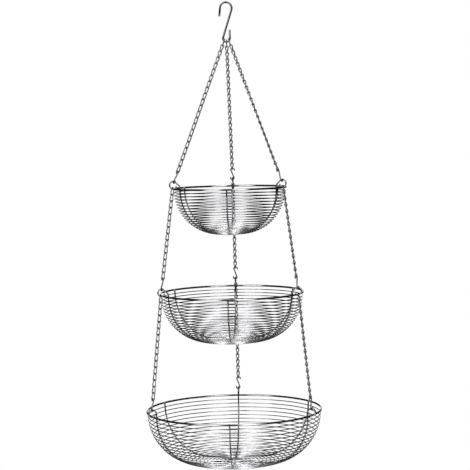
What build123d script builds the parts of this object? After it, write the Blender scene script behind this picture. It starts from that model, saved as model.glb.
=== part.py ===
from build123d import *
import os
from math import asin, atan2, cos, degrees, pi, radians, sin, sqrt, tan

# Three-tier hanging fruit basket of chrome-plated steel wire, in millimetres.
# The origin is the inner top of the hook's upper bend, where the basket hangs.
# +Z is up, the front is -Y, and a wire's own path is always its centreline.
os.makedirs("parts", exist_ok=True)

# Clearances
play = 0.25
weld_gap = 0.05

# Top hook: an upper bend, a leaning shank, and a lower bend with a return leg
hook_wire = 3.5
hook_bend_radius = 10.0
hook_free_leg = 15.0
hook_free_leg_angle = 6.0
hook_bends_apart = 51.5
hook_lower_radius = 5.9
hook_return_leg = 15.0
hook_loop_angle = 45.0

# Chain links: twisted oval loops, with one flat loop at the top of each upper chain
link_wire = 1.9
link_inner_length = 11.25
link_inner_width = 4.2
link_corner_radius = 2.35
link_twist_angle = 90.0
upper_links = 22
middle_links = 14
lower_links = 16

# S-hooks
s_wire = 2.3
s_length = 21.7
s_inner_width = 5.1
s_bend_radius = 2.75
s_tip = 4.6

# Wires of the baskets
rim_wire = 3.4
hoop_wire = 1.6
rib_wire = 2.5
center_wire = 2.5

# Round eyes at the tops of three ribs, in the rib's own upright plane
eye_radius = 6.3
top_eye_out = 9.8
middle_eye_out = 10.2
bottom_eye_out = 5.5
eye_up = 8.0
eye_lean_angle = 50.0
eye_turn_angle = 298.0
neck_radius = 6.0

# Baskets: rim diameter over the wire, depth at the ribs, flat base and spacing of the hoops
top_rim_diameter = 198.0
middle_rim_diameter = 250.0
bottom_rim_diameter = 304.8
top_depth = 76.8
middle_depth = 81.3
bottom_depth = 87.6
top_base_radius = 19.4
middle_base_radius = 40.9
bottom_base_radius = 61.7
top_hoop_spacing = 5.4
middle_hoop_spacing = 5.6
bottom_hoop_spacing = 7.0
top_first_gap = 6.0
middle_first_gap = 6.6
bottom_first_gap = 7.4
least_wall = 2.0
center_ring_radius = 14.0
rib_overhang = 1.5

# Angles of the ribs seen from above, counted from +X
back_angle = 90.0
left_angle = 210.0
right_angle = 330.0
front_angle = 270.0
back_left_angle = 150.0
back_right_angle = 30.0
eyed_ribs = {"back": back_angle, "left": left_angle, "right": right_angle}
plain_ribs = {"front": front_angle, "back_left": back_left_angle, "back_right": back_right_angle}


def direction(azimuth):
    return Vector(cos(radians(azimuth)), sin(radians(azimuth)), 0)


def tube(path, diameter):
    """A round wire along a path, its ends cut square."""
    section = Plane(origin=path @ 0, z_dir=path % 0) * Circle(diameter / 2)
    return sweep(section, path=path)


def save(shape, name):
    export_step(shape, f"parts/{name}.step")


# Top hook

hook_upper_center = Vector(0, 0, hook_wire / 2 - hook_bend_radius)
hook_lower_center = hook_upper_center - Vector(0, 0, hook_bends_apart)
hook_lean = degrees(asin((hook_bend_radius + hook_lower_radius) / hook_bends_apart))


def hook_point(center, radius, angle):
    return center + Vector(radius * cos(radians(angle)), 0, radius * sin(radians(angle)))


def hook_arc(center, radius, first, last):
    angles = (first, (first + last) / 2, last)
    return ThreePointArc(*(hook_point(center, radius, angle) for angle in angles))


def top_hook():
    upper = hook_arc(hook_upper_center, hook_bend_radius, 180 - hook_free_leg_angle, -hook_lean)
    lower = hook_arc(hook_lower_center, hook_lower_radius, 180 - hook_lean, 360)
    free_leg = Line((upper @ 0) - (upper % 0) * hook_free_leg, upper @ 0)
    shank = Line(upper @ 1, lower @ 0)
    return_leg = Line(lower @ 1, (lower @ 1) + (lower % 1) * hook_return_leg)
    path = Wire([piece.edge() for piece in (free_leg, upper, shank, lower, return_leg)])
    return tube(path, hook_wire)


# Links and S-hooks, made upright at the origin with the top end along X

link_reach = (link_inner_length + link_wire) / 2
link_half_width = (link_inner_width + link_wire) / 2
link_pitch = link_inner_length - play


def link(twist):
    """Two alike halves, joined at the middles of the legs."""
    half = link_half_width
    side = Vector(half * (1 + cos(radians(twist))) / 2, half * sin(radians(twist)) / 2, 0)
    left_corner = Vector(-half, 0, link_reach)
    right_corner = Vector(half, 0, link_reach)
    path = FilletPolyline(-side, left_corner, right_corner, side, radius=link_corner_radius)
    upper_half = tube(path, link_wire)
    lower_half = upper_half.rotate(Axis((0, 0, 0), direction(twist / 2)), 180)
    return upper_half + lower_half


def s_hook():
    """Two bends on the line of pull, joined by a slanted middle."""
    half = (s_inner_width + s_wire) / 2
    reach = s_length / 2
    points = [
        Vector(-half, 0, reach - s_tip),
        Vector(-half, 0, reach),
        Vector(half, 0, reach),
        Vector(-half, 0, -reach),
        Vector(half, 0, -reach),
        Vector(half, 0, s_tip - reach),
    ]
    return tube(FilletPolyline(*points, radius=s_bend_radius), s_wire)


# What each chain adds to its line: from the wire that it hangs on to the centre of the eye below
s_seat = (link_wire + s_wire) / 2 + play
eye_seat = (s_wire + rib_wire) / 2 + play
chain_tail = 2 * link_reach - s_seat + s_length - eye_seat + eye_radius


def top_seat(held_wire):
    """From the held wire's centre up to the end of the first link."""
    return (held_wire + link_wire) / 2 + play


def bend_seat(start, line):
    """The same in the hook's lower bend, where the pull isn't square to the curved wire."""
    inner = hook_lower_radius - top_seat(hook_wire)
    outward = (start - hook_lower_center).dot(line)
    flatness = 1 - line.Y**2
    rest = outward**2 - flatness * (hook_lower_radius**2 - inner**2)
    return (outward - sqrt(rest)) / flatness


def line_length(links, held_wire):
    return (links - 1) * link_pitch + chain_tail - top_seat(held_wire)


def chain(start, seat, eye_center, links, top_along, end_along, flat_first):
    """The links and the S-hook on the straight line from a held wire to an eye's centre."""
    line = (eye_center - start).normalized()
    pitch = ((eye_center - start).length - chain_tail + seat) / (links - 1)

    def across(wanted):
        return (wanted - line * wanted.dot(line)).normalized()

    first_along = across(top_along)
    last_along = across(end_along)
    if flat_first:
        first_twisted_along = first_along.cross(line)
    else:
        first_twisted_along = first_along
    sideways = line.cross(first_twisted_along)
    roll = atan2(last_along.dot(sideways), last_along.dot(first_twisted_along))
    if abs(roll) > pi / 2:
        roll -= pi if roll > 0 else -pi
    flat_link = link(0)
    twisted_link = link(link_twist_angle)
    placed = []
    for count in range(links):
        center = start + line * (link_reach - seat + count * pitch)
        turned = roll * count / (links - 1)
        along = first_twisted_along * cos(turned) + sideways * sin(turned)
        loop = twisted_link
        if flat_first and count == 0:
            along = first_along
            loop = flat_link
        placed.append(loop.moved(Plane(origin=center, x_dir=along, z_dir=-line).location))
    last_end = (links - 1) * pitch + 2 * link_reach - seat
    hook_center = start + line * (last_end - s_seat + s_length / 2)
    hook_plane = Plane(origin=hook_center, x_dir=last_along, z_dir=-line)
    return Compound(children=placed), s_hook().moved(hook_plane.location)


# Baskets, made with the rim's centre plane at height zero

rib_inset = (rim_wire + rib_wire) / 2 + weld_gap
hoop_offset = (rib_wire + hoop_wire) / 2 + weld_gap
center_offset = (rib_wire + center_wire) / 2 + weld_gap


def rib_radius(rim_diameter):
    return (rim_diameter - rim_wire) / 2 - rib_inset


def eye_reach(rim_diameter, eye_out):
    """From the basket's axis out to the centre of an eye."""
    return (rim_diameter - rim_wire) / 2 + eye_out


def rim(rim_diameter):
    return Torus((rim_diameter - rim_wire) / 2, rim_wire / 2)


def center_ring(depth):
    return Pos(0, 0, -depth - center_offset) * Torus(center_ring_radius, center_wire / 2)


def base_corner(rim_diameter, depth, base_radius):
    """Radius of the round side, as large as the depth and the flat base allow."""
    return min(depth - least_wall, rib_radius(rim_diameter) - base_radius)


def hoops(rim_diameter, depth, base_radius, first_gap, spacing):
    """Rings down the outside of the ribs: upper side, lower side, and the base in even steps."""
    corner = base_corner(rim_diameter, depth, base_radius)
    wall = depth - corner
    reach = corner + hoop_offset
    side_run = wall + reach * pi / 2
    full_run = side_run + rib_radius(rim_diameter) - corner - center_ring_radius

    def ring_at(run):
        turned = min(max(0, run - wall) / reach, pi / 2)
        radius = rib_radius(rim_diameter) - corner + reach * cos(turned) - max(0, run - side_run)
        drop = min(run, wall) + reach * sin(turned)
        return Pos(0, 0, -drop) * Torus(radius, hoop_wire / 2)

    side_count = int((side_run - first_gap) / spacing) + 1
    last_run = first_gap + (side_count - 1) * spacing
    base_count = max(1, round((full_run - last_run) / spacing) - 1)
    base_spacing = (full_run - last_run) / (base_count + 1)
    side = [ring_at(first_gap + count * spacing) for count in range(side_count)]
    base = [ring_at(last_run + (count + 1) * base_spacing) for count in range(base_count)]
    upper_count = side_count // 2
    print("hoops", upper_count, side_count - upper_count, base_count)
    return [Compound(children=rings) for rings in (side[:upper_count], side[upper_count:], base)]


def rib_points(rim_diameter, depth):
    radius = rib_radius(rim_diameter)
    inner_end = center_ring_radius - center_wire / 2 - rib_overhang
    return [Vector(inner_end, 0, -depth), Vector(radius, 0, -depth)]


def plain_rib(rim_diameter, depth, base_radius):
    top = Vector(rib_radius(rim_diameter), 0, rim_wire / 2)
    corner = base_corner(rim_diameter, depth, base_radius)
    return tube(FilletPolyline(*rib_points(rim_diameter, depth), top, radius=corner), rib_wire)


def eyed_rib(rim_diameter, depth, base_radius, eye_out):
    """A rib whose top leans out over the rim and is rolled into an eye."""
    center = Vector(eye_reach(rim_diameter, eye_out), 0, eye_up)
    first_angle = 180 - eye_lean_angle

    def on_eye(angle):
        return center + Vector(cos(radians(angle)), 0, sin(radians(angle))) * eye_radius

    eye_start = on_eye(first_angle)
    radius = rib_radius(rim_diameter)
    bend_height = eye_start.Z - (eye_start.X - radius) / tan(radians(eye_lean_angle))
    bend = Vector(radius, 0, bend_height)
    radii = [base_corner(rim_diameter, depth, base_radius), neck_radius]
    shank = FilletPolyline(*rib_points(rim_diameter, depth), bend, eye_start, radius=radii)
    angles = (first_angle, first_angle - eye_turn_angle / 2, first_angle - eye_turn_angle)
    loop = ThreePointArc(*(on_eye(angle) for angle in angles))
    return tube(Wire(shank.edges() + [loop.edge()]), rib_wire)


def basket(tier, height, rim_diameter, depth, base_radius, eye_out, first_gap, spacing):
    level = Pos(0, 0, height)
    bowl = (rim_diameter, depth, base_radius)
    upper_hoops, lower_hoops, base_hoops = hoops(*bowl, first_gap, spacing)
    save(level * rim(rim_diameter), f"{tier}_rim")
    save(level * upper_hoops, f"{tier}_upper_hoops")
    save(level * lower_hoops, f"{tier}_lower_hoops")
    save(level * base_hoops, f"{tier}_base_hoops")
    save(level * center_ring(depth), f"{tier}_center_ring")
    for name, azimuth in eyed_ribs.items():
        turned = Rot(0, 0, azimuth) * eyed_rib(*bowl, eye_out)
        save(level * turned, f"{tier}_rib_{name}")
    for name, azimuth in plain_ribs.items():
        turned = Rot(0, 0, azimuth) * plain_rib(*bowl)
        save(level * turned, f"{tier}_rib_{name}")


def eye_center(reach, height, azimuth):
    return direction(azimuth) * reach + Vector(0, 0, height + eye_up)


# Heights of the tiers, from the lengths of the back chains

hook_seats = {"back": 270, "left": 270 - hook_loop_angle, "right": 270 + hook_loop_angle}
hook_seat = {
    name: hook_point(hook_lower_center, hook_lower_radius, angle)
    for name, angle in hook_seats.items()
}
top_reach = eye_reach(top_rim_diameter, top_eye_out)
middle_reach = eye_reach(middle_rim_diameter, middle_eye_out)
bottom_reach = eye_reach(bottom_rim_diameter, bottom_eye_out)
upper_line = line_length(upper_links, hook_wire)
top_height = hook_seat["back"].Z - sqrt(upper_line**2 - top_reach**2) - eye_up


def tier_below(height, reach, lower_reach, links):
    """A lower tier hangs from eye centre to eye centre."""
    full = line_length(links, rib_wire) + eye_radius
    return height - sqrt(full**2 - (lower_reach - reach)**2)


middle_height = tier_below(top_height, top_reach, middle_reach, middle_links)
bottom_height = tier_below(middle_height, middle_reach, bottom_reach, lower_links)

# Build and write every piece

save(top_hook(), "top_hook")
basket(
    "top",
    top_height,
    top_rim_diameter,
    top_depth,
    top_base_radius,
    top_eye_out,
    top_first_gap,
    top_hoop_spacing,
)
basket(
    "middle",
    middle_height,
    middle_rim_diameter,
    middle_depth,
    middle_base_radius,
    middle_eye_out,
    middle_first_gap,
    middle_hoop_spacing,
)
basket(
    "bottom",
    bottom_height,
    bottom_rim_diameter,
    bottom_depth,
    bottom_base_radius,
    bottom_eye_out,
    bottom_first_gap,
    bottom_hoop_spacing,
)

for name, azimuth in eyed_ribs.items():
    start = hook_seat[name]
    end = eye_center(top_reach, top_height, azimuth)
    seat = bend_seat(start, (end - start).normalized())
    tangent = direction(azimuth + 90)
    links, s = chain(start, seat, end, upper_links, Vector(0, 1, 0), tangent, True)
    save(links, f"upper_chain_{name}")
    save(s, f"upper_s_hook_{name}")

lower_tiers = {
    "middle": (top_reach, top_height, middle_reach, middle_height, middle_links),
    "lower": (middle_reach, middle_height, bottom_reach, bottom_height, lower_links),
}
for tier, (above_reach, above_height, reach, height, count) in lower_tiers.items():
    for name, azimuth in eyed_ribs.items():
        above = eye_center(above_reach, above_height, azimuth)
        end = eye_center(reach, height, azimuth)
        start = above + (end - above).normalized() * eye_radius
        tangent = direction(azimuth + 90)
        links, s = chain(start, top_seat(rib_wire), end, count, tangent, tangent, False)
        save(links, f"{tier}_chain_{name}")
        save(s, f"{tier}_s_hook_{name}")

print("tier heights", round(top_height, 2), round(middle_height, 2), round(bottom_height, 2))
print("hook lean", round(hook_lean, 2), "lower bend centre", round(hook_lower_center.Z, 2))
for name, seat in hook_seat.items():
    print("hook seat", name, round(seat.X, 3), round(seat.Z, 3))
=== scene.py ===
import bpy
import math
import random
from mathutils import Matrix, Vector


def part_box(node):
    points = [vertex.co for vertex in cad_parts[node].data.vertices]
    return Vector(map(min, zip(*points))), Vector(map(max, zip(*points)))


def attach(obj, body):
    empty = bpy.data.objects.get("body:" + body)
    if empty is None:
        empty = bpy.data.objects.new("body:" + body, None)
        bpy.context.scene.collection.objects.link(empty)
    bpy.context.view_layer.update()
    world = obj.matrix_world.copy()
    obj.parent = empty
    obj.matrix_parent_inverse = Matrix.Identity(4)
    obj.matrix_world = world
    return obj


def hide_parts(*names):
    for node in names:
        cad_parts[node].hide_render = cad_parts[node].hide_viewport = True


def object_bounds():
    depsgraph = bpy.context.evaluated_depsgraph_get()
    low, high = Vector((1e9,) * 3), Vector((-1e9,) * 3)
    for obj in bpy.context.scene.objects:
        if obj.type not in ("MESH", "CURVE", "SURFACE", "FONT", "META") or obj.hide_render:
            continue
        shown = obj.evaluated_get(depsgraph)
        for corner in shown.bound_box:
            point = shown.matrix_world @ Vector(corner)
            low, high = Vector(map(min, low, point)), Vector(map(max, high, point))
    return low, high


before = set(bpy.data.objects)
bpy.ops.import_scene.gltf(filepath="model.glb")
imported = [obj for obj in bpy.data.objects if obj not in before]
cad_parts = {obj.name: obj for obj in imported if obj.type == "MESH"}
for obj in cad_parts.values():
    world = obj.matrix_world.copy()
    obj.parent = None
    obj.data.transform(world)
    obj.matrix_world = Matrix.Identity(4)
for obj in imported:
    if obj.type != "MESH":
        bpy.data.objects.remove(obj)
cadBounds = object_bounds()
print("frame loaded,", len(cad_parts), "nodes")

mm = 0.001
play = 0.25 * mm     # between loops that hang in each other
weldGap = 0.05 * mm  # between wires that cross at a weld
azimuths = {"back": 90, "left": 210, "right": 330}
plainAzimuths = {"front": 270, "back_left": 150, "back_right": 30}


# Bending wire: a round section is fed forward and bent about an axis, as on a wire bender

def startSelection():
    if bpy.context.object and bpy.context.object.mode != "OBJECT":
        bpy.ops.object.mode_set(mode="OBJECT")
    bpy.ops.object.select_all(action="DESELECT")


def applyPlace(piece):
    startSelection()
    piece.select_set(True)
    bpy.context.view_layer.objects.active = piece
    bpy.ops.object.transform_apply(location=True, rotation=True, scale=True)


# selects the points for which chosen(place) is true, and opens edit mode
def selectPoints(piece, chosen):
    bpy.ops.object.mode_set(mode="EDIT")
    bpy.ops.mesh.select_mode(type="VERT")
    bpy.ops.mesh.select_all(action="DESELECT")
    bpy.ops.object.mode_set(mode="OBJECT")
    for point in piece.data.vertices:
        point.select = bool(chosen(point.co))
    bpy.ops.object.mode_set(mode="EDIT")


bending = {"closingGap": 0.8 * mm, "smoothAngle": 50, "endRound": 0.22, "endSteps": 2}


def bendWire(name, start, heading, moves, wire, sides, stepAngle, closed=False):
    here, heading = Vector(start), Vector(heading).normalized()
    startSelection()
    bpy.ops.mesh.primitive_circle_add(vertices=sides, radius=wire / 2, fill_type="NOTHING",
                                      location=here, rotation=heading.to_track_quat("Z", "Y").to_euler())
    piece = bpy.context.object
    piece.name = piece.data.name = name
    applyPlace(piece)
    bpy.ops.object.mode_set(mode="EDIT")
    bpy.ops.mesh.select_mode(type="VERT")
    bpy.ops.mesh.select_all(action="SELECT")
    for number, move in enumerate(moves):
        if move[0] == "feed":
            length = move[1]
            if closed and number == len(moves) - 1:
                length -= bending["closingGap"]
            bpy.ops.mesh.extrude_region_move(TRANSFORM_OT_translate={"value": heading * length})
            here = here + heading * length
            continue
        angle, radius, axis = move[1], move[2], Vector(move[3])
        center = here + axis.cross(heading) * radius
        steps = max(2, math.ceil(angle / math.radians(stepAngle)))
        bpy.ops.mesh.spin(steps=steps, angle=-angle, center=center, axis=axis)
        turn = Matrix.Rotation(angle, 3, axis)
        here = center + turn @ (here - center)
        heading = turn @ heading
    if closed:
        bpy.ops.mesh.select_all(action="DESELECT")
        bpy.ops.mesh.select_non_manifold(extend=False)
        bpy.ops.mesh.bridge_edge_loops()
    else:
        bpy.ops.mesh.select_all(action="SELECT")
        bpy.ops.mesh.fill_holes(sides=sides)
        bpy.ops.mesh.select_mode(type="FACE")
        bpy.ops.mesh.select_face_by_sides(number=sides, type="EQUAL", extend=False)
        bpy.ops.mesh.bevel(offset=wire * bending["endRound"], segments=bending["endSteps"], affect="EDGES")
    bpy.ops.mesh.select_all(action="SELECT")
    bpy.ops.mesh.normals_make_consistent(inside=False)
    bpy.ops.object.mode_set(mode="OBJECT")
    bpy.ops.object.shade_smooth_by_angle(angle=math.radians(bending["smoothAngle"]))
    print("bent", name, "to", [round(value / mm, 2) for value in here])
    return piece


# the feeds and bends of a wire along straight runs with rounded corners
def movesThrough(points, radius):
    moves, used = [], 0
    for before, corner, after in zip(points, points[1:], points[2:]):
        coming, going = (corner - before).normalized(), (after - corner).normalized()
        angle = coming.angle(going)
        tangent = radius * math.tan(angle / 2)
        moves.append(("feed", (corner - before).length - used - tangent))
        moves.append(("bend", angle, radius, coming.cross(going).normalized()))
        used = tangent
    moves.append(("feed", (points[-1] - points[-2]).length - used))
    return moves


# a copy with its own mesh, put in place in the mesh
def copyOf(piece, name, place):
    twin = piece.copy()
    twin.data = piece.data.copy()
    twin.name = twin.data.name = name
    twin.data.transform(place)
    bpy.context.scene.collection.objects.link(twin)
    return twin


def joined(pieces, name):
    startSelection()
    for piece in pieces:
        piece.select_set(True)
    bpy.context.view_layer.objects.active = pieces[0]
    if len(pieces) > 1:
        bpy.ops.object.join()
    pieces[0].name = pieces[0].data.name = name
    return pieces[0]


def axesAt(origin, xAxis, zAxis):
    yAxis = zAxis.cross(xAxis)
    return Matrix.Translation(origin) @ Matrix((xAxis, yAxis, zAxis)).transposed().to_4x4()


def finishPiece(piece, material, body, slot, *nodes):
    piece.data.materials.clear()
    piece.data.materials.append(material)
    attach(piece, body)
    if nodes:
        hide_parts(*nodes)


# Materials: bright plating with faint waviness, specks and duller patches

def addSocket(group, label, way, value=None):
    socket = group.interface.new_socket(name=label, in_out=way, socket_type="NodeSocketFloat")
    if value is not None:
        socket.default_value = value


# values are sockets or plain numbers
def addMath(nodes, links, operation, *values):
    node = nodes.new("ShaderNodeMath")
    node.operation = operation
    for number, value in enumerate(values):
        if isinstance(value, (int, float)):
            node.inputs[number].default_value = value
        else:
            links.new(value, node.inputs[number])
    return node.outputs[0]


# spreads low to high over 0 to 1
def addSpread(nodes, links, source, low, high):
    node = nodes.new("ShaderNodeMapRange")
    node.inputs["From Min"].default_value = low
    node.inputs["From Max"].default_value = high
    links.new(source, node.inputs["Value"])
    return node


plating = {"inputs": {"Grain Size": 700, "Patch Size": 60, "Speck Amount": 0.3,
                      "Rough Low": 0.07, "Rough High": 0.2},
           "patchDetail": 3, "patchRoughness": 0.55, "patchFrom": 0.35, "patchTo": 0.68,
           "grainDetail": 2, "grainRoughness": 0.6, "pitFrom": 0.05, "pitTo": 0.22,
           "reliefDepth": 0.05 * mm}


# masks and heights of a plated wire: slow shading, fine grain, specks and handling marks
def makePlatingGroup():
    group = bpy.data.node_groups.new("platedSurface", "ShaderNodeTree")
    for label, value in plating["inputs"].items():
        addSocket(group, label, "INPUT", value)
    for label in ("Shade", "Roughness", "Height"):
        addSocket(group, label, "OUTPUT")
    nodes, links = group.nodes, group.links
    incoming, outgoing = nodes.new("NodeGroupInput"), nodes.new("NodeGroupOutput")
    place = nodes.new("ShaderNodeTexCoord")

    def noise(size, detail, roughness):
        node = nodes.new("ShaderNodeTexNoise")
        node.inputs["Detail"].default_value = detail
        node.inputs["Roughness"].default_value = roughness
        links.new(place.outputs["Object"], node.inputs["Vector"])
        links.new(incoming.outputs[size], node.inputs["Scale"])
        return node.outputs["Fac"]

    patchNoise = noise("Patch Size", plating["patchDetail"], plating["patchRoughness"])
    patches = addSpread(nodes, links, patchNoise, plating["patchFrom"], plating["patchTo"])
    grain = noise("Grain Size", plating["grainDetail"], plating["grainRoughness"])
    specks = nodes.new("ShaderNodeTexVoronoi")
    links.new(place.outputs["Object"], specks.inputs["Vector"])
    links.new(incoming.outputs["Grain Size"], specks.inputs["Scale"])
    clear = addSpread(nodes, links, specks.outputs["Distance"], plating["pitFrom"], plating["pitTo"])
    pits = addMath(nodes, links, "SUBTRACT", 1, clear.outputs["Result"])
    marks = addMath(nodes, links, "MULTIPLY", pits, incoming.outputs["Speck Amount"])

    shade = addMath(nodes, links, "MAXIMUM", patches.outputs["Result"], marks)
    links.new(shade, outgoing.inputs["Shade"])
    rough = addSpread(nodes, links, shade, 0, 1)
    links.new(incoming.outputs["Rough Low"], rough.inputs["To Min"])
    links.new(incoming.outputs["Rough High"], rough.inputs["To Max"])
    links.new(rough.outputs["Result"], outgoing.inputs["Roughness"])
    links.new(addMath(nodes, links, "SUBTRACT", grain, marks), outgoing.inputs["Height"])
    return group


platingGroup = makePlatingGroup()


# metal plating: bright and dull are the colours of clean and of dulled metal
def platedMaterial(name, bright, dull, values, bump):
    material = bpy.data.materials.new(name)
    material.use_nodes = True
    nodes, links = material.node_tree.nodes, material.node_tree.links
    shader = nodes["Principled BSDF"]
    shader.inputs["Metallic"].default_value = 1
    surface = nodes.new("ShaderNodeGroup")
    surface.node_tree = platingGroup
    for label, value in values.items():
        surface.inputs[label].default_value = value
    tone = nodes.new("ShaderNodeMix")
    tone.data_type = "RGBA"
    tone.inputs[6].default_value = (*bright, 1)  # in its colour mode, 6 and 7 are A and B
    tone.inputs[7].default_value = (*dull, 1)
    links.new(surface.outputs["Shade"], tone.inputs[0])
    links.new(tone.outputs[2], shader.inputs["Base Color"])
    links.new(surface.outputs["Roughness"], shader.inputs["Roughness"])
    relief = nodes.new("ShaderNodeBump")
    relief.inputs["Strength"].default_value = bump
    relief.inputs["Distance"].default_value = plating["reliefDepth"]
    links.new(surface.outputs["Height"], relief.inputs["Height"])
    links.new(relief.outputs["Normal"], shader.inputs["Normal"])
    return material


finishes = {
    "hook": {"bright": (0.11, 0.11, 0.115), "dull": (0.065, 0.065, 0.07), "bump": 0.08,
             "values": {"Grain Size": 900, "Patch Size": 70, "Rough Low": 0.04, "Rough High": 0.12}},
    "rim": {"bright": (0.23, 0.23, 0.24), "dull": (0.15, 0.15, 0.16), "bump": 0.06,
            "values": {"Grain Size": 800, "Patch Size": 40, "Rough Low": 0.03, "Rough High": 0.1}},
    # painted light and shade: the three hoop entries are copies of one plating, darker for the upper hoops
    # and painted lighter for the lower and base hoops, as the light falls on them
    "hoop": {"bright": (0.25, 0.25, 0.26), "dull": (0.16, 0.16, 0.17), "bump": 0.06,
             "values": {"Grain Size": 1100, "Patch Size": 55, "Rough Low": 0.04, "Rough High": 0.11}},
    "lowerHoopPaintedLight": {"bright": (0.50, 0.50, 0.51), "dull": (0.32, 0.32, 0.33), "bump": 0.09,
                  "values": {"Grain Size": 1100, "Patch Size": 55, "Rough Low": 0.2, "Rough High": 0.36}},
    "baseHoopPaintedLight": {"bright": (0.52, 0.52, 0.53), "dull": (0.34, 0.34, 0.35), "bump": 0.1,
                 "values": {"Grain Size": 1100, "Patch Size": 55, "Rough Low": 0.22, "Rough High": 0.4}},
    "rib": {"bright": (0.15, 0.15, 0.16), "dull": (0.09, 0.09, 0.095), "bump": 0.06,
            "values": {"Grain Size": 1000, "Patch Size": 60, "Rough Low": 0.04, "Rough High": 0.12}},
    "chain": {"bright": (0.14, 0.14, 0.145), "dull": (0.04, 0.04, 0.045), "bump": 0.1,
              "values": {"Grain Size": 1300, "Patch Size": 190, "Rough Low": 0.05, "Rough High": 0.18}},
    "weld": {"bright": (0.36, 0.36, 0.36), "dull": (0.22, 0.21, 0.20), "bump": 0.4,
             "values": {"Grain Size": 1700, "Patch Size": 260, "Rough Low": 0.15, "Rough High": 0.35}},
}
metal = {name: platedMaterial(name + "Plating", **finish) for name, finish in finishes.items()}
print("materials made")


# Top hook

hook = {"wire": 3.5 * mm, "upperRadius": 10 * mm, "lowerRadius": 5.9 * mm, "bendsApart": 51.5 * mm,
        "freeLeg": 15 * mm, "freeLegLean": 6, "returnLeg": 15 * mm, "loopAngle": 45,
        "sides": 20, "stepAngle": 8}
hookUpper = Vector((0, 0, hook["wire"] / 2 - hook["upperRadius"]))
hookLower = hookUpper - Vector((0, 0, hook["bendsApart"]))
hookLean = math.asin((hook["upperRadius"] + hook["lowerRadius"]) / hook["bendsApart"])


def makeHook():
    lean = math.radians(hook["freeLegLean"])
    firstAngle = math.pi - lean
    top = hookUpper + Vector((math.cos(firstAngle), 0, math.sin(firstAngle))) * hook["upperRadius"]
    heading = Vector((math.sin(firstAngle), 0, -math.cos(firstAngle)))
    shank = math.sqrt(hook["bendsApart"] ** 2 - (hook["upperRadius"] + hook["lowerRadius"]) ** 2)
    moves = [("feed", hook["freeLeg"]),
             ("bend", firstAngle + hookLean, hook["upperRadius"], (0, 1, 0)),
             ("feed", shank),
             ("bend", math.pi + hookLean, hook["lowerRadius"], (0, -1, 0)),
             ("feed", hook["returnLeg"])]
    piece = bendWire("topHookWire", top - heading * hook["freeLeg"], heading, moves, hook["wire"],
                     hook["sides"], hook["stepAngle"])
    finishPiece(piece, metal["hook"], "hook", "hook_wire", "top_hook")


makeHook()


# Links and S-hooks, made once at the origin with the top end along X

link = {"wire": 1.9 * mm, "innerLength": 11.25 * mm, "innerWidth": 4.2 * mm, "cornerRadius": 2.35 * mm,
        "twist": 90, "sides": 8, "stepAngle": 18, "weldBulge": 0.16 * mm, "weldReach": 0.9 * mm}
sHook = {"wire": 2.3 * mm, "length": 21.7 * mm, "innerWidth": 5.1 * mm, "bendRadius": 2.75 * mm,
         "tip": 4.6 * mm, "sides": 12, "stepAngle": 12}
linkReach = (link["innerLength"] + link["wire"]) / 2


def makeLink(name, twist):
    half = (link["innerWidth"] + link["wire"]) / 2
    low = Vector((half * math.cos(twist), half * math.sin(twist), 0))
    up, reach = Vector((half, 0, 0)), Vector((0, 0, linkReach))
    start = (-up - low) / 2
    points = [start, reach - up, reach + up, low - reach, -low - reach, start]
    heading = points[1] - start
    piece = bendWire(name, start, heading, movesThrough(points, link["cornerRadius"]), link["wire"],
                     link["sides"], link["stepAngle"], closed=True)
    selectPoints(piece, lambda place: (place - start).length < link["weldReach"] + link["wire"] / 2)
    bpy.ops.transform.shrink_fatten(value=link["weldBulge"])  # the butt weld halfway up one leg
    bpy.ops.object.mode_set(mode="OBJECT")
    return piece


def makeSHook():
    half, reach, tip = (sHook["innerWidth"] + sHook["wire"]) / 2, sHook["length"] / 2, sHook["tip"]
    outline = [(-half, reach - tip), (-half, reach), (half, reach),
               (-half, -reach), (half, -reach), (half, tip - reach)]
    points = [Vector((across, 0, up)) for across, up in outline]
    moves = movesThrough(points, sHook["bendRadius"])
    return bendWire("sHookPattern", points[0], points[1] - points[0], moves, sHook["wire"],
                    sHook["sides"], sHook["stepAngle"])


flatLink = makeLink("flatLink", 0)
twistedLink = makeLink("twistedLink", math.radians(link["twist"]))
sHookPattern = makeSHook()


# Bowls: measures that the frame doesn't give

bowl = {"rimWire": 3.4 * mm, "hoopWire": 1.6 * mm, "ribWire": 2.5 * mm, "centerWire": 2.5 * mm,
        "leastWall": 2 * mm, "centerRadius": 14 * mm, "ribOverhang": 1.5 * mm,
        "eyeRadius": 6.3 * mm, "eyeUp": 8 * mm, "eyeLean": 50, "eyeTurn": 298, "neckRadius": 6 * mm,
        "ribSides": 12, "ribStepAngle": 6}
ribInset = (bowl["rimWire"] + bowl["ribWire"]) / 2 + weldGap
tiers = {
    "top": {"body": "top_tier", "depth": 76.8 * mm, "firstGap": 6 * mm, "spacing": 5.4 * mm,
            "eyeOut": 9.8 * mm},
    "middle": {"body": "middle_tier", "depth": 81.3 * mm, "firstGap": 6.6 * mm, "spacing": 5.6 * mm,
               "eyeOut": 10.2 * mm},
    "bottom": {"body": "bottom_tier", "depth": 87.6 * mm, "firstGap": 7.4 * mm, "spacing": 7 * mm,
               "eyeOut": 5.5 * mm},
}
for tierName, tier in tiers.items():
    low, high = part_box(tierName + "_rim")
    tier["height"] = (low[2] + high[2]) / 2
    tier["rimRadius"] = (high[0] - low[0]) / 2 - bowl["rimWire"] / 2
    tier["ribRadius"] = tier["rimRadius"] - ribInset
    tier["corner"] = tier["depth"] - bowl["leastWall"]  # radius of the round side, at the ribs
hoopOffset = (bowl["ribWire"] + bowl["hoopWire"]) / 2 + weldGap
centerOffset = (bowl["ribWire"] + bowl["centerWire"]) / 2 + weldGap


def outward(azimuth):
    return Vector((math.cos(math.radians(azimuth)), math.sin(math.radians(azimuth)), 0))


def eyeCenter(tier, azimuth):
    level = Vector((0, 0, tier["height"] + bowl["eyeUp"]))
    return outward(azimuth) * (tier["rimRadius"] + tier["eyeOut"]) + level


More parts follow.
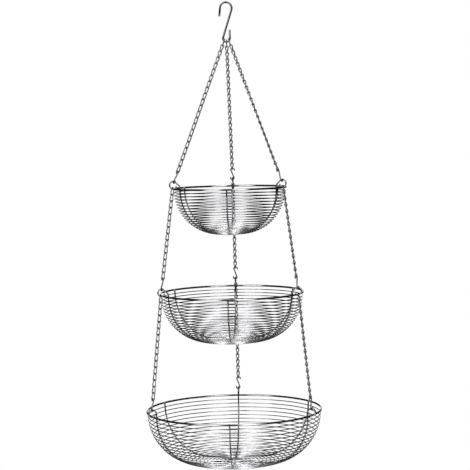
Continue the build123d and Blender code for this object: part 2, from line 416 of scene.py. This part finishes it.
# Chains: links strung on the straight line from the wire they hang on to the next eye

sSeat = (link["wire"] + sHook["wire"]) / 2 + play
eyeSeat = (sHook["wire"] + bowl["ribWire"]) / 2 + play
chainTail = 2 * linkReach - sSeat + sHook["length"] - eyeSeat + bowl["eyeRadius"]


# how far above the hook's wire the end of a chain's first link lies
def bendSeat(start, line):
    inner = hook["lowerRadius"] - (hook["wire"] + link["wire"]) / 2 - play
    reach = (start - hookLower).dot(line)
    flatness = 1 - line.y ** 2
    rest = reach ** 2 - flatness * (hook["lowerRadius"] ** 2 - inner ** 2)
    return (reach - math.sqrt(rest)) / flatness


def makeChain(label, start, seat, end, count, topAlong, endAlong, flatFirst, body):
    line = (end - start).normalized()
    pitch = ((end - start).length - chainTail + seat) / (count - 1)
    firstAlong = (topAlong - line * topAlong.dot(line)).normalized()
    lastAlong = (endAlong - line * endAlong.dot(line)).normalized()
    twistedAlong = firstAlong.cross(line) if flatFirst else firstAlong
    sideways = line.cross(twistedAlong)
    roll = math.atan2(lastAlong.dot(sideways), lastAlong.dot(twistedAlong))
    if abs(roll) > math.pi / 2:
        roll -= math.copysign(math.pi, roll)
    loops = []
    for number in range(count):
        center = start + line * (linkReach - seat + number * pitch)
        turned = roll * number / (count - 1)
        along = twistedAlong * math.cos(turned) + sideways * math.sin(turned)
        pattern = twistedLink
        if flatFirst and number == 0:
            along, pattern = firstAlong, flatLink
        loops.append(copyOf(pattern, f"loop{number}", axesAt(center, along, -line)))
    tierName, side = label
    chain = joined(loops, f"{tierName}ChainLinks_{side}")
    finishPiece(chain, metal["chain"], body, "chain_wire", f"{tierName}_chain_{side}")
    lastEnd = (count - 1) * pitch + 2 * linkReach - seat
    hookPlace = axesAt(start + line * (lastEnd - sSeat + sHook["length"] / 2), lastAlong, -line)
    sPiece = copyOf(sHookPattern, f"{tierName}SHookWire_{side}", hookPlace)
    finishPiece(sPiece, metal["hook"], body, "s_hook_wire", f"{tierName}_s_hook_{side}")


chainCounts = {"upper": 22, "middle": 14, "lower": 16}
hookTurns = {"back": 0, "left": -hook["loopAngle"], "right": hook["loopAngle"]}
for side, azimuth in azimuths.items():
    turned = math.radians(270 + hookTurns[side])
    start = hookLower + Vector((math.cos(turned), 0, math.sin(turned))) * hook["lowerRadius"]
    end = eyeCenter(tiers["top"], azimuth)
    seat = bendSeat(start, (end - start).normalized())
    makeChain(("upper", side), start, seat, end, chainCounts["upper"], Vector((0, 1, 0)),
              outward(azimuth + 90), True, "top_tier")
for above, below, chainName in (("top", "middle", "middle"), ("middle", "bottom", "lower")):
    for side, azimuth in azimuths.items():
        high, end = eyeCenter(tiers[above], azimuth), eyeCenter(tiers[below], azimuth)
        start = high + (end - high).normalized() * bowl["eyeRadius"]
        seat = (bowl["ribWire"] + link["wire"]) / 2 + play
        makeChain((chainName, side), start, seat, end, chainCounts[chainName], outward(azimuth + 90),
                  outward(azimuth + 90), False, f"{chainName}_chain_{side}")
for pattern in (flatLink, twistedLink, sHookPattern):
    bpy.data.objects.remove(pattern)
print("chains strung")


# Bowl wires

ringSettings = {"weldReach": 1.6 * mm, "weldBulge": 0.12 * mm, "rimSegments": 180, "rimSides": 14,
                "hoopSegments": 120, "leastHoopSegments": 32, "hoopSides": 8,
                "centerSegments": 48, "centerSides": 12,
                "rimWeldAt": 75, "hoopWeldsFrom": 60, "hoopWeldsTo": 120}


def makeRing(name, radius, wire, height, weldAzimuth, segments, sides, welded=True):
    startSelection()
    bpy.ops.mesh.primitive_torus_add(major_radius=radius, minor_radius=wire / 2, major_segments=segments,
                                     minor_segments=sides, location=(0, 0, height))
    piece = bpy.context.object
    piece.name = piece.data.name = name
    applyPlace(piece)
    if welded:
        weld = outward(weldAzimuth) * radius + Vector((0, 0, height))
        halfSegment = math.pi * radius / segments
        reach = max(ringSettings["weldReach"], 1.1 * halfSegment) + wire / 2
        selectPoints(piece, lambda place: (place - weld).length < reach)
        bpy.ops.transform.shrink_fatten(value=ringSettings["weldBulge"])  # the ring's butt weld
        bpy.ops.object.mode_set(mode="OBJECT")
    bpy.ops.object.shade_smooth()
    return piece


nuggetSettings = {"segments": 8, "rings": 5, "unevenness": 0.04, "seed": 5, "least": 0.85, "most": 1.1}
weldSizes = {"hoop": (1.9 * mm, 1.5 * mm, 1.1 * mm), "rim": (3.0 * mm, 2.6 * mm, 1.3 * mm),
             "center": (2.4 * mm, 2.2 * mm, 1.2 * mm)}


def makeNugget():
    startSelection()
    bpy.ops.mesh.primitive_uv_sphere_add(segments=nuggetSettings["segments"],
                                         ring_count=nuggetSettings["rings"], radius=0.5)
    piece = bpy.context.object
    bpy.ops.object.mode_set(mode="EDIT")
    bpy.ops.mesh.select_all(action="SELECT")
    bpy.ops.transform.vertex_random(offset=nuggetSettings["unevenness"], seed=nuggetSettings["seed"])
    bpy.ops.object.mode_set(mode="OBJECT")
    bpy.ops.object.shade_smooth()
    return piece


nugget = makeNugget()
hoopPlatingAndPaintedLight = {"upper": "hoop", "lower": "lowerHoopPaintedLight", "base": "baseHoopPaintedLight"}  # rougher towards the base, and painted lighter there: lit copies of one hoop plating
random.seed(7)


# hoops down the outside: a short straight top, the round side, then the flat base in even steps.
# returns where the ribs are welded to them
def makeHoops(tierName, tier):
    height, wall, corner, ribRadius = tier["height"], bowl["leastWall"], tier["corner"], tier["ribRadius"]
    reach = corner + hoopOffset
    sideRun = wall + reach * math.pi / 2
    fullRun = sideRun + ribRadius - corner - bowl["centerRadius"]
    sideCount = int((sideRun - tier["firstGap"]) / tier["spacing"]) + 1
    lastRun = tier["firstGap"] + (sideCount - 1) * tier["spacing"]
    baseCount = round((fullRun - lastRun) / tier["spacing"]) - 1
    runs = [tier["firstGap"] + number * tier["spacing"] for number in range(sideCount)]
    runs += [lastRun + (fullRun - lastRun) * (number + 1) / (baseCount + 1) for number in range(baseCount)]
    inset = (bowl["hoopWire"] + weldGap) / 2
    rings, welds = [], []
    for number, run in enumerate(runs):
        turned = min(max(0, run - wall) / reach, math.pi / 2)
        radius = ribRadius - corner + reach * math.cos(turned) - max(0, run - sideRun)
        drop = min(run, wall) + reach * math.sin(turned)
        segments = max(ringSettings["leastHoopSegments"],
                       int(ringSettings["hoopSegments"] * math.sqrt(radius / ribRadius)))
        weldAt = random.uniform(ringSettings["hoopWeldsFrom"], ringSettings["hoopWeldsTo"])
        rings.append(makeRing(f"hoop{number}", radius, bowl["hoopWire"], height - drop, weldAt,
                              segments, ringSettings["hoopSides"]))
        normal = (math.cos(turned), -math.sin(turned))
        welds.append(("hoop", radius - inset * normal[0], height - drop - inset * normal[1], normal))
    half = sideCount // 2
    groups = {"upper": rings[:half], "lower": rings[half:sideCount], "base": rings[sideCount:]}
    for label, group in groups.items():
        hoops = joined(group, f"{tierName}{label.title()}HoopWires")
        finishPiece(hoops, metal[hoopPlatingAndPaintedLight[label]], tier["body"], "hoop_wire", f"{tierName}_{label}_hoops")
    print("bowl", tierName, "has", len(runs), "hoops")
    return welds


# ribs up the inside, three of them rolled into eyes above the rim
def makeRibs(tierName, tier):
    wall, corner, ribRadius = bowl["leastWall"], tier["corner"], tier["ribRadius"]
    innerEnd = bowl["centerRadius"] - bowl["centerWire"] / 2 - bowl["ribOverhang"]
    start = Vector((innerEnd, 0, tier["height"] - tier["depth"]))
    lean = math.radians(bowl["eyeLean"])
    eyeOut, eyeUp = tier["rimRadius"] + tier["eyeOut"], bowl["eyeUp"]
    eyeStart = (eyeOut - bowl["eyeRadius"] * math.cos(lean), eyeUp + bowl["eyeRadius"] * math.sin(lean))
    bendUp = eyeStart[1] - (eyeStart[0] - ribRadius) / math.tan(lean)
    neckTangent = bowl["neckRadius"] * math.tan(lean / 2)
    neckRun = math.hypot(eyeStart[0] - ribRadius, eyeStart[1] - bendUp) - neckTangent
    rise = [("feed", ribRadius - corner - innerEnd), ("bend", math.pi / 2, corner, (0, -1, 0))]
    eyed = rise + [("feed", wall + bendUp - neckTangent), ("bend", lean, bowl["neckRadius"], (0, 1, 0)),
                   ("feed", neckRun),
                   ("bend", math.radians(bowl["eyeTurn"]), bowl["eyeRadius"], (0, 1, 0))]
    plain = rise + [("feed", wall + bowl["rimWire"] / 2)]
    for kind, moves, places in (("eyed", eyed, azimuths), ("plain", plain, plainAzimuths)):
        pattern = bendWire(kind + "RibPattern", start, (1, 0, 0), moves, bowl["ribWire"],
                           bowl["ribSides"], bowl["ribStepAngle"])
        for label, azimuth in places.items():
            turn = Matrix.Rotation(math.radians(azimuth), 4, "Z")
            rib = copyOf(pattern, f"{tierName}RibWire_{label}", turn)
            finishPiece(rib, metal["rib"], tier["body"], "rib_wire", f"{tierName}_rib_{label}")
        bpy.data.objects.remove(pattern)


# weld nuggets where the ribs cross the other wires
def makeWelds(tierName, tier, welds):
    beads = []
    for kind, radius, level, normal in welds:
        across, along, thick = weldSizes[kind]
        for azimuth in (*azimuths.values(), *plainAzimuths.values()):
            out = outward(azimuth)
            facing = out * normal[0] + Vector((0, 0, normal[1]))
            wider = random.uniform(nuggetSettings["least"], nuggetSettings["most"])
            longer = random.uniform(nuggetSettings["least"], nuggetSettings["most"])
            size = Matrix.Diagonal((across * wider, along * longer, thick, 1))
            place = axesAt(out * radius + Vector((0, 0, level)), outward(azimuth + 90), facing) @ size
            beads.append(copyOf(nugget, "bead", place))
    finishPiece(joined(beads, tierName + "WeldBeads"), metal["weld"], tier["body"], "rib_wire")


def makeBowl(tierName, tier):
    height, depth, body = tier["height"], tier["depth"], tier["body"]
    rim = makeRing(tierName + "RimWire", tier["rimRadius"], bowl["rimWire"], height,
                   ringSettings["rimWeldAt"], ringSettings["rimSegments"], ringSettings["rimSides"])
    finishPiece(rim, metal["rim"], body, "rim_wire", tierName + "_rim")
    welds = makeHoops(tierName, tier)
    ring = makeRing(tierName + "CenterRingWire", bowl["centerRadius"], bowl["centerWire"],
                    height - depth - centerOffset, ringSettings["rimWeldAt"],
                    ringSettings["centerSegments"], ringSettings["centerSides"], welded=False)
    finishPiece(ring, metal["rib"], body, "hoop_wire", tierName + "_center_ring")
    welds.append(("rim", tier["ribRadius"] + bowl["ribWire"] / 2, height, (1, 0)))
    welds.append(("center", bowl["centerRadius"], height - depth - bowl["ribWire"] / 2, (0, -1)))
    makeRibs(tierName, tier)
    makeWelds(tierName, tier, welds)


for tierName, tier in tiers.items():
    makeBowl(tierName, tier)
bpy.data.objects.remove(nugget)
print("bowls made")


# Floor, lamps, world and camera

stage = {"floorDrop": 0.7, "floorSize": 1.2, "floorColor": (0.93, 0.93, 0.93), "floorRoughness": 0.8,
         "glow": 0.9}


# 1 for camera, glossy and transmission rays, so that metal shows the same background
def addShownRays(nodes, links):
    ray = nodes.new("ShaderNodeLightPath")
    glossy, through = ray.outputs["Is Glossy Ray"], ray.outputs["Is Transmission Ray"]
    mirrored = addMath(nodes, links, "MAXIMUM", glossy, through)
    return ray, addMath(nodes, links, "MAXIMUM", mirrored, ray.outputs["Is Camera Ray"])


def makeFloor():
    startSelection()
    level = cadBounds[0][2] - stage["floorDrop"]
    bpy.ops.mesh.primitive_plane_add(size=stage["floorSize"], location=(0, 0, level))
    floor = bpy.context.object
    floor.name = "floor"
    material = bpy.data.materials.new("paleFloor")
    material.use_nodes = True
    nodes, links = material.node_tree.nodes, material.node_tree.links
    shader = nodes["Principled BSDF"]
    shader.inputs["Base Color"].default_value = (*stage["floorColor"], 1)
    shader.inputs["Roughness"].default_value = stage["floorRoughness"]
    glow = nodes.new("ShaderNodeEmission")
    blend = nodes.new("ShaderNodeMixShader")
    shownRays = addShownRays(nodes, links)[1]
    links.new(addMath(nodes, links, "MULTIPLY", shownRays, stage["glow"]), blend.inputs["Fac"])
    links.new(shader.outputs["BSDF"], blend.inputs[1])
    links.new(glow.outputs["Emission"], blend.inputs[2])
    links.new(blend.outputs["Shader"], nodes["Material Output"].inputs["Surface"])
    floor.data.materials.append(material)


# white to the camera. To the metal it is a dim room with two tall white panels in front,
# given by the angles that they reach over, and a white backdrop behind the basket.
# The panels leave a dark band at the camera's height, so that upright wires stay dark
room = {"strength": 7,
        "tones": ((0, 0.012), (0.35, 0.003), (0.48, 0.0015), (0.64, 0.0015), (0.8, 0.008), (1, 0.06)),
        "panels": ((-52, -18), (12, 42)), "panelEdge": 4,
        "bandMiddle": -0.07, "bandFrom": 0.15, "bandTo": 0.24, "backdropFrom": 0.95, "backdropTo": 0.985}


# grey levels by position, from 0 to 1
def addGreys(nodes, links, source, levels):
    node = nodes.new("ShaderNodeValToRGB")
    links.new(source, node.inputs["Fac"])
    stops = node.color_ramp.elements
    for position, level in levels:
        stop = {0: stops[0], 1: stops[-1]}.get(position) or stops.new(position)
        stop.color = (level, level, level, 1)
    return node.outputs["Color"]


def makeWorld():
    world = bpy.data.worlds.new("studio")
    bpy.context.scene.world = world
    world.use_nodes = True
    nodes, links = world.node_tree.nodes, world.node_tree.links
    shown = nodes["Background"]
    shown.inputs["Color"].default_value = (1, 1, 1, 1)
    dim = nodes.new("ShaderNodeBackground")
    place = nodes.new("ShaderNodeTexCoord")
    split = nodes.new("ShaderNodeSeparateXYZ")
    links.new(place.outputs["Generated"], split.inputs["Vector"])
    across, deep, up = split.outputs["X"], split.outputs["Y"], split.outputs["Z"]
    rising = addSpread(nodes, links, up, -1, 1)
    tones = addGreys(nodes, links, rising.outputs["Result"], room["tones"])

    around = addMath(nodes, links, "ARCTAN2", across, addMath(nodes, links, "MULTIPLY", deep, -1))
    turn = addSpread(nodes, links, around, -math.pi, math.pi)
    edge, levels = room["panelEdge"], [(0, 0)]
    for first, last in room["panels"]:
        for angle, level in ((first - edge, 0), (first + edge, 1), (last - edge, 1), (last + edge, 0)):
            levels.append(((angle + 180) / 360, level))
    panels = addGreys(nodes, links, turn.outputs["Result"], levels + [(1, 0)])
    overBand = addMath(nodes, links, "SUBTRACT", up, room["bandMiddle"])
    fromBand = addMath(nodes, links, "ABSOLUTE", overBand)
    outside = addSpread(nodes, links, fromBand, room["bandFrom"], room["bandTo"])
    whites = addMath(nodes, links, "MULTIPLY", panels, outside.outputs["Result"])
    links.new(addMath(nodes, links, "MAXIMUM", tones, whites), dim.inputs["Color"])
    dim.inputs["Strength"].default_value = room["strength"]

    backdrop = addSpread(nodes, links, deep, room["backdropFrom"], room["backdropTo"])
    backdrop.interpolation_type = "SMOOTHSTEP"
    ray, shownRays = addShownRays(nodes, links)
    mirrored = addMath(nodes, links, "MULTIPLY", shownRays, backdrop.outputs["Result"])
    blend = nodes.new("ShaderNodeMixShader")
    links.new(addMath(nodes, links, "MAXIMUM", mirrored, ray.outputs["Is Camera Ray"]), blend.inputs["Fac"])
    links.new(dim.outputs["Background"], blend.inputs[1])
    links.new(shown.outputs["Background"], blend.inputs[2])
    links.new(blend.outputs["Shader"], nodes["World Output"].inputs["Surface"])


lamps = {
    "leftSoftbox": {"place": (-1.15, -1.64, 1.0), "aim": (0, 0, -0.45), "size": (0.5, 1.0), "power": 3},
    "rightSoftbox": {"place": (1.0, -1.73, 1.0), "aim": (0, 0, -0.45), "size": (0.4, 1.0), "power": 2.5},
    "topSoftbox": {"place": (0.2, -0.3, 1.5), "aim": (0, 0, -0.4), "size": (1.2, 1.2), "power": 6},
}


def makeLamp(name, place, aim, size, power):
    startSelection()
    bpy.ops.object.light_add(type="AREA", location=place)
    lamp = bpy.context.object
    lamp.name = name
    lamp.data.shape = "RECTANGLE"
    lamp.data.size, lamp.data.size_y = size
    lamp.data.energy = power
    lamp.rotation_euler = (Vector(aim) - Vector(place)).to_track_quat("-Z", "Y").to_euler()


makeFloor()
makeWorld()
for name, lamp in lamps.items():
    makeLamp(name, **lamp)

camera = {"distance": 2.757, "height": -0.217, "azimuth": 3.0, "pitch": 3.73, "roll": 1.2, "pan": 0.0076,
          "focalPixels": 1603, "imagePixels": 470, "sensor": 36}


def makeCamera():
    startSelection()
    azimuth, pitch = math.radians(camera["azimuth"]), math.radians(camera["pitch"])
    right = Vector((math.cos(azimuth), math.sin(azimuth), 0))
    place = Vector((math.sin(azimuth), -math.cos(azimuth), 0)) * camera["distance"]
    place += right * camera["pan"] + Vector((0, 0, camera["height"]))
    ahead = Vector((-math.sin(azimuth), math.cos(azimuth), 0))
    forward = ahead * math.cos(pitch) - Vector((0, 0, math.sin(pitch)))
    bpy.ops.object.camera_add(location=place)
    made = bpy.context.object
    made.rotation_mode = "QUATERNION"
    rolled = Matrix.Rotation(math.radians(camera["roll"]), 3, forward).to_quaternion()
    made.rotation_quaternion = rolled @ forward.to_track_quat("-Z", "Y")
    made.data.sensor_width = camera["sensor"]
    made.data.lens = camera["focalPixels"] / camera["imagePixels"] * camera["sensor"]
    made.data.clip_end = 100
    bpy.context.scene.camera = made


makeCamera()
bpy.context.scene.view_settings.view_transform = "Standard"
print("stage set")
